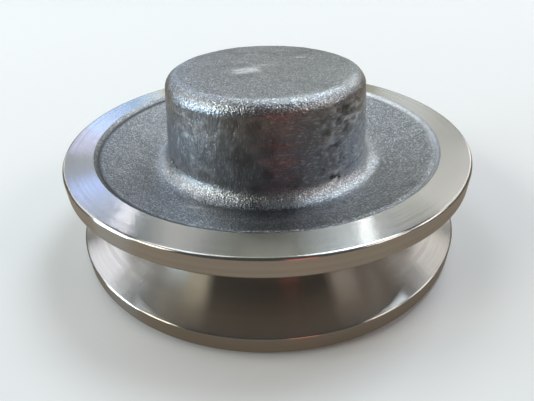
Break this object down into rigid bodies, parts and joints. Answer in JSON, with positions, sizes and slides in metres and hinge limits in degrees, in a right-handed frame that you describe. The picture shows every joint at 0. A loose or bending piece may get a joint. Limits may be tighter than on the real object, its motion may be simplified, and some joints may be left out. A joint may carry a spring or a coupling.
{
  "type": "v belt idler pulley",
  "caption": "Single-groove V-belt pulley with a forged closed hub, turning on sealed ball bearings and a tapped fixed spindle.",
  "frame": {"origin": "centre of the spindle's seat face, the lowest point of the part, on the axis of rotation", "axes": "+Z along the axis of rotation towards the closed end of the hub; +X right and +Y away as the picture shows the part"},
  "size_m": [0.1016, 0.1016, 0.0433],
  "materials": {
    "forged_steel": "shot-blasted forged skin, turned rim",
    "turned_steel": "fine turned",
    "bearing_steel": "ground",
    "ball_steel": "polished",
    "cage_steel": "pressed",
    "spring_steel": "phosphated black, oiled",
    "seal_rubber": "matt moulded"
  },
  "bodies": {
    "spindle_set": {"spindle": "turned_steel", "inner_spacer": "turned_steel", "shaft_circlip": "spring_steel", "front_bearing_inner_ring": "bearing_steel", "rear_bearing_inner_ring": "bearing_steel"},
    "wheel": {"pulley_wheel": "forged_steel", "bore_circlip": "spring_steel", "front_bearing_outer_ring": "bearing_steel", "front_bearing_seal_front": "seal_rubber", "front_bearing_seal_rear": "seal_rubber", "rear_bearing_outer_ring": "bearing_steel", "rear_bearing_seal_front": "seal_rubber", "rear_bearing_seal_rear": "seal_rubber"},
    "front_cage": {"front_bearing_cage_front": "cage_steel", "front_bearing_cage_rear": "cage_steel", "front_bearing_cage_rivets": "cage_steel"},
    "front_ball_1": {"front_bearing_ball_1": "ball_steel"},
    "front_ball_2": {"front_bearing_ball_2": "ball_steel"},
    "front_ball_3": {"front_bearing_ball_3": "ball_steel"},
    "front_ball_4": {"front_bearing_ball_4": "ball_steel"},
    "front_ball_5": {"front_bearing_ball_5": "ball_steel"},
    "front_ball_6": {"front_bearing_ball_6": "ball_steel"},
    "front_ball_7": {"front_bearing_ball_7": "ball_steel"},
    "front_ball_8": {"front_bearing_ball_8": "ball_steel"},
    "rear_cage": {"rear_bearing_cage_front": "cage_steel", "rear_bearing_cage_rear": "cage_steel", "rear_bearing_cage_rivets": "cage_steel"},
    "rear_ball_1": {"rear_bearing_ball_1": "ball_steel"},
    "rear_ball_2": {"rear_bearing_ball_2": "ball_steel"},
    "rear_ball_3": {"rear_bearing_ball_3": "ball_steel"},
    "rear_ball_4": {"rear_bearing_ball_4": "ball_steel"},
    "rear_ball_5": {"rear_bearing_ball_5": "ball_steel"},
    "rear_ball_6": {"rear_bearing_ball_6": "ball_steel"},
    "rear_ball_7": {"rear_bearing_ball_7": "ball_steel"},
    "rear_ball_8": {"rear_bearing_ball_8": "ball_steel"}
  },
  "joints": [
    {"name": "wheel_spin", "type": "hinge", "parent": "spindle_set", "child": "wheel", "pos_m": [0, 0, 0.014], "axis": [0, 0, 1], "continuous": true},
    {"name": "front_cage_orbit", "type": "hinge", "parent": "spindle_set", "child": "front_cage", "pos_m": [0, 0, 0.0285], "axis": [0, 0, 1], "continuous": true},
    {"name": "front_ball_1_roll", "type": "hinge", "parent": "front_cage", "child": "front_ball_1", "pos_m": [0.01425, 0, 0.0285], "axis": [0, 0, 1], "continuous": true},
    {"name": "front_ball_2_roll", "type": "hinge", "parent": "front_cage", "child": "front_ball_2", "pos_m": [0.01008, 0.01008, 0.0285], "axis": [0, 0, 1], "continuous": true},
    {"name": "front_ball_3_roll", "type": "hinge", "parent": "front_cage", "child": "front_ball_3", "pos_m": [0, 0.01425, 0.0285], "axis": [0, 0, 1], "continuous": true},
    {"name": "front_ball_4_roll", "type": "hinge", "parent": "front_cage", "child": "front_ball_4", "pos_m": [-0.01008, 0.01008, 0.0285], "axis": [0, 0, 1], "continuous": true},
    {"name": "front_ball_5_roll", "type": "hinge", "parent": "front_cage", "child": "front_ball_5", "pos_m": [-0.01425, 0, 0.0285], "axis": [0, 0, 1], "continuous": true},
    {"name": "front_ball_6_roll", "type": "hinge", "parent": "front_cage", "child": "front_ball_6", "pos_m": [-0.01008, -0.01008, 0.0285], "axis": [0, 0, 1], "continuous": true},
    {"name": "front_ball_7_roll", "type": "hinge", "parent": "front_cage", "child": "front_ball_7", "pos_m": [0, -0.01425, 0.0285], "axis": [0, 0, 1], "continuous": true},
    {"name": "front_ball_8_roll", "type": "hinge", "parent": "front_cage", "child": "front_ball_8", "pos_m": [0.01008, -0.01008, 0.0285], "axis": [0, 0, 1], "continuous": true},
    {"name": "rear_cage_orbit", "type": "hinge", "parent": "spindle_set", "child": "rear_cage", "pos_m": [0, 0, 0.012], "axis": [0, 0, 1], "continuous": true},
    {"name": "rear_ball_1_roll", "type": "hinge", "parent": "rear_cage", "child": "rear_ball_1", "pos_m": [0.0137, 0.00393, 0.012], "axis": [0, 0, 1], "continuous": true},
    {"name": "rear_ball_2_roll", "type": "hinge", "parent": "rear_cage", "child": "rear_ball_2", "pos_m": [0.00691, 0.01246, 0.012], "axis": [0, 0, 1], "continuous": true},
    {"name": "rear_ball_3_roll", "type": "hinge", "parent": "rear_cage", "child": "rear_ball_3", "pos_m": [-0.00393, 0.0137, 0.012], "axis": [0, 0, 1], "continuous": true},
    {"name": "rear_ball_4_roll", "type": "hinge", "parent": "rear_cage", "child": "rear_ball_4", "pos_m": [-0.01246, 0.00691, 0.012], "axis": [0, 0, 1], "continuous": true},
    {"name": "rear_ball_5_roll", "type": "hinge", "parent": "rear_cage", "child": "rear_ball_5", "pos_m": [-0.0137, -0.00393, 0.012], "axis": [0, 0, 1], "continuous": true},
    {"name": "rear_ball_6_roll", "type": "hinge", "parent": "rear_cage", "child": "rear_ball_6", "pos_m": [-0.00691, -0.01246, 0.012], "axis": [0, 0, 1], "continuous": true},
    {"name": "rear_ball_7_roll", "type": "hinge", "parent": "rear_cage", "child": "rear_ball_7", "pos_m": [0.00393, -0.0137, 0.012], "axis": [0, 0, 1], "continuous": true},
    {"name": "rear_ball_8_roll", "type": "hinge", "parent": "rear_cage", "child": "rear_ball_8", "pos_m": [0.01246, -0.00691, 0.012], "axis": [0, 0, 1], "continuous": true}
  ],
  "couplings": [
    {"joint": "front_cage_orbit", "follows": "wheel_spin", "ratio": 0.6184},
    {"joint": "front_ball_1_roll", "follows": "wheel_spin", "ratio": 1.9937},
    {"joint": "front_ball_2_roll", "follows": "wheel_spin", "ratio": 1.9937},
    {"joint": "front_ball_3_roll", "follows": "wheel_spin", "ratio": 1.9937},
    {"joint": "front_ball_4_roll", "follows": "wheel_spin", "ratio": 1.9937},
    {"joint": "front_ball_5_roll", "follows": "wheel_spin", "ratio": 1.9937},
    {"joint": "front_ball_6_roll", "follows": "wheel_spin", "ratio": 1.9937},
    {"joint": "front_ball_7_roll", "follows": "wheel_spin", "ratio": 1.9937},
    {"joint": "front_ball_8_roll", "follows": "wheel_spin", "ratio": 1.9937},
    {"joint": "rear_cage_orbit", "follows": "wheel_spin", "ratio": 0.6184},
    {"joint": "rear_ball_1_roll", "follows": "wheel_spin", "ratio": 1.9937},
    {"joint": "rear_ball_2_roll", "follows": "wheel_spin", "ratio": 1.9937},
    {"joint": "rear_ball_3_roll", "follows": "wheel_spin", "ratio": 1.9937},
    {"joint": "rear_ball_4_roll", "follows": "wheel_spin", "ratio": 1.9937},
    {"joint": "rear_ball_5_roll", "follows": "wheel_spin", "ratio": 1.9937},
    {"joint": "rear_ball_6_roll", "follows": "wheel_spin", "ratio": 1.9937},
    {"joint": "rear_ball_7_roll", "follows": "wheel_spin", "ratio": 1.9937},
    {"joint": "rear_ball_8_roll", "follows": "wheel_spin", "ratio": 1.9937}
  ]
}
